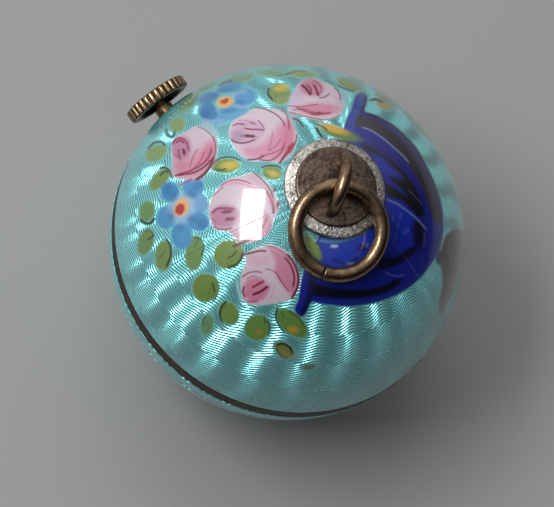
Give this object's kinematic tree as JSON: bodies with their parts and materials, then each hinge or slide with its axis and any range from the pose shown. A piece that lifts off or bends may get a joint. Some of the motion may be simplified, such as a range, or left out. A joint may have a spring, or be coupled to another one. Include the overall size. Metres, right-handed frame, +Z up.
{
  "type": "pill box",
  "caption": "Ball-shaped enamelled pill box worn as a pendant, hinged at its middle seam, with an eye and jump ring at the top and a fluted crown that presses to release the catch.",
  "frame": {"origin": "on the pole axis, inside the pendant eye, at the height of the jump ring's wire", "axes": "+Z up the pole out of the eye, -Y to the front where the catch crown is, +Y to the rear where the hinge is, +X to the right seen from the front"},
  "size_m": [0.028, 0.03, 0.0311],
  "materials": {
    "gilt_metal": "engine-turned outside, polished gilt inside",
    "enamel": "glossy translucent turquoise over engine turning, with painted flowers",
    "bare_brass": "dark, oxidised",
    "disc_silver": "rough, worn plating",
    "aged_bronze": "satin, aged",
    "crown_brass": "dirty, fluted",
    "spring_steel": "blued steel"
  },
  "bodies": {
    "cover_half": {"cover_shell": "gilt_metal", "cover_enamel": "enamel", "cover_rim": "bare_brass", "cover_knuckle": "bare_brass", "boss_plate": "disc_silver", "boss_cap": "disc_silver", "pendant_eye": "aged_bronze", "eye_backing": "gilt_metal"},
    "bowl_half": {"band_ring": "bare_brass", "band_enamel": "enamel", "bowl_shell": "gilt_metal", "bowl_enamel": "enamel", "band_knuckles": "bare_brass", "hinge_pin": "spring_steel", "stem_tube": "crown_brass", "lift_spring": "spring_steel", "spring_screws": "spring_steel"},
    "pendant_ring": {"jump_ring": "aged_bronze"},
    "push_stem": {"crown_stem": "spring_steel", "stem_clip": "spring_steel"},
    "crown_knob": {"crown": "crown_brass"},
    "lock": {"lock_spring": "spring_steel"}
  },
  "joints": [
    {"name": "box_hinge", "type": "hinge", "parent": "cover_half", "child": "bowl_half", "pos_m": [0, 0.01365, -0.01536], "axis": [1, 0, 0], "range_deg": [0, 105]},
    {"name": "ring_swing", "type": "hinge", "parent": "cover_half", "child": "pendant_ring", "pos_m": [0.00019, 0.00021, 0], "axis": [0.7431, -0.6691, 0], "range_deg": [0, 216]},
    {"name": "crown_press", "type": "slide", "parent": "bowl_half", "child": "push_stem", "axis": [0.1219, 0.9925, 0], "range_m": [0, 0.0005], "stiffness_N_per_m": 150},
    {"name": "crown_turn", "type": "hinge", "parent": "push_stem", "child": "crown_knob", "pos_m": [0, -0.0146, -0.01536], "axis": [-0.1219, -0.9925, 0], "continuous": true},
    {"name": "lock_release", "type": "hinge", "parent": "bowl_half", "child": "lock", "pos_m": [-0.00821, -0.00739, -0.01536], "axis": [0, 0, 1], "range_deg": [0, 3.2], "stiffness_Nm_per_rad": 0.002}
  ],
  "couplings": [
    {"joint": "lock_release", "follows": "crown_press", "rad_per_m": 109.7}
  ]
}
